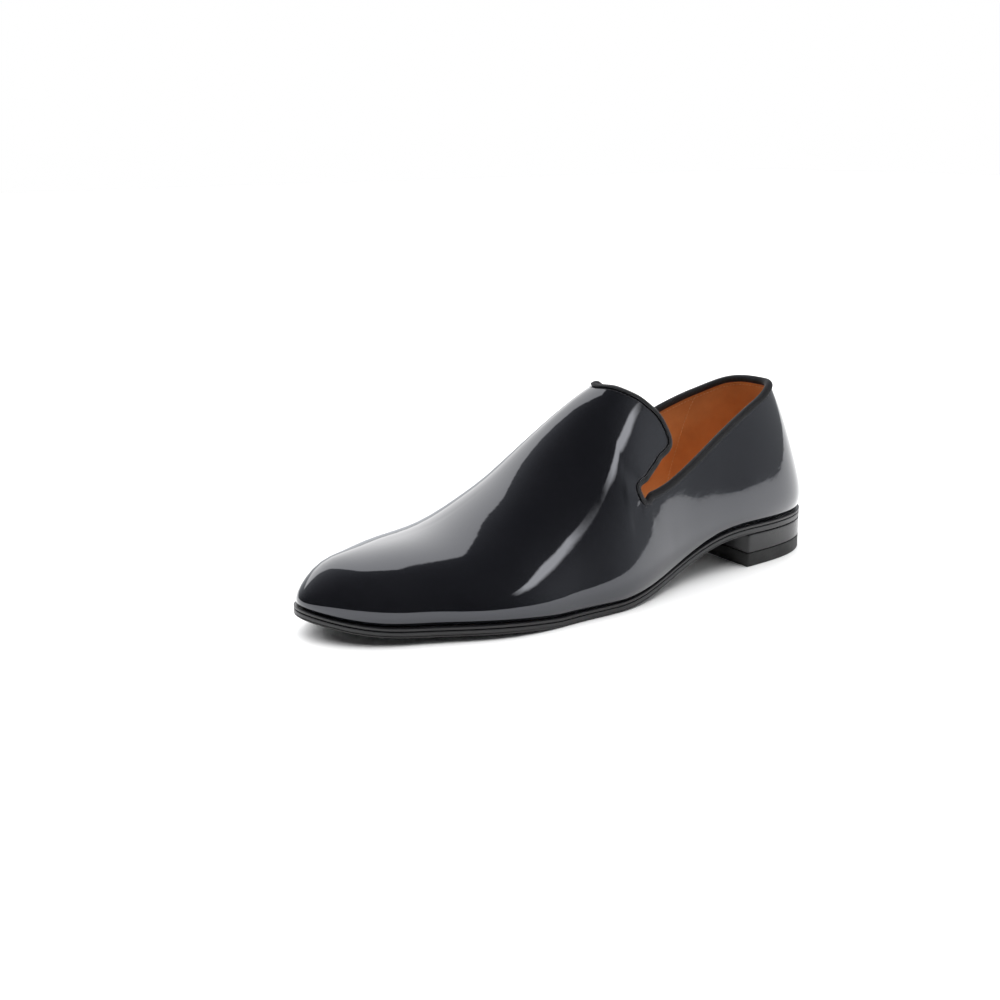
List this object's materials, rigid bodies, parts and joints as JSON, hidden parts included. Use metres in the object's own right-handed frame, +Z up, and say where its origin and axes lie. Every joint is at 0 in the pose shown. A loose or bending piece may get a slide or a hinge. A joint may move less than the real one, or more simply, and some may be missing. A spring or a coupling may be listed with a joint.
{
  "type": "loafer",
  "caption": "Slip-on loafer for the left foot: hollow glossy upper with ribbon-bound collar and notched tongue, thin sole and low block heel.",
  "frame": {"origin": "centre of the bounding box at ground level, where the tread and the top lift stand", "axes": "+X towards the toe, +Y towards the outer side of the foot, +Z up"},
  "size_m": [0.298, 0.0998, 0.1034],
  "materials": {
    "patent_leather": "mirror gloss patent, black",
    "ribbon": "ribbed grosgrain, black",
    "tan_leather": "smooth tan lining leather",
    "edge_leather": "satin black edge",
    "sole_leather": "waxed black",
    "heel_leather": "waxed black",
    "heel_rubber": "matt black"
  },
  "bodies": {
    "root": {"upper": "patent_leather", "topline_binding": "ribbon", "insole": "tan_leather", "welt": "edge_leather", "outsole": "sole_leather", "heel_block": "heel_leather", "top_lift": "heel_rubber"}
  },
  "joints": []
}
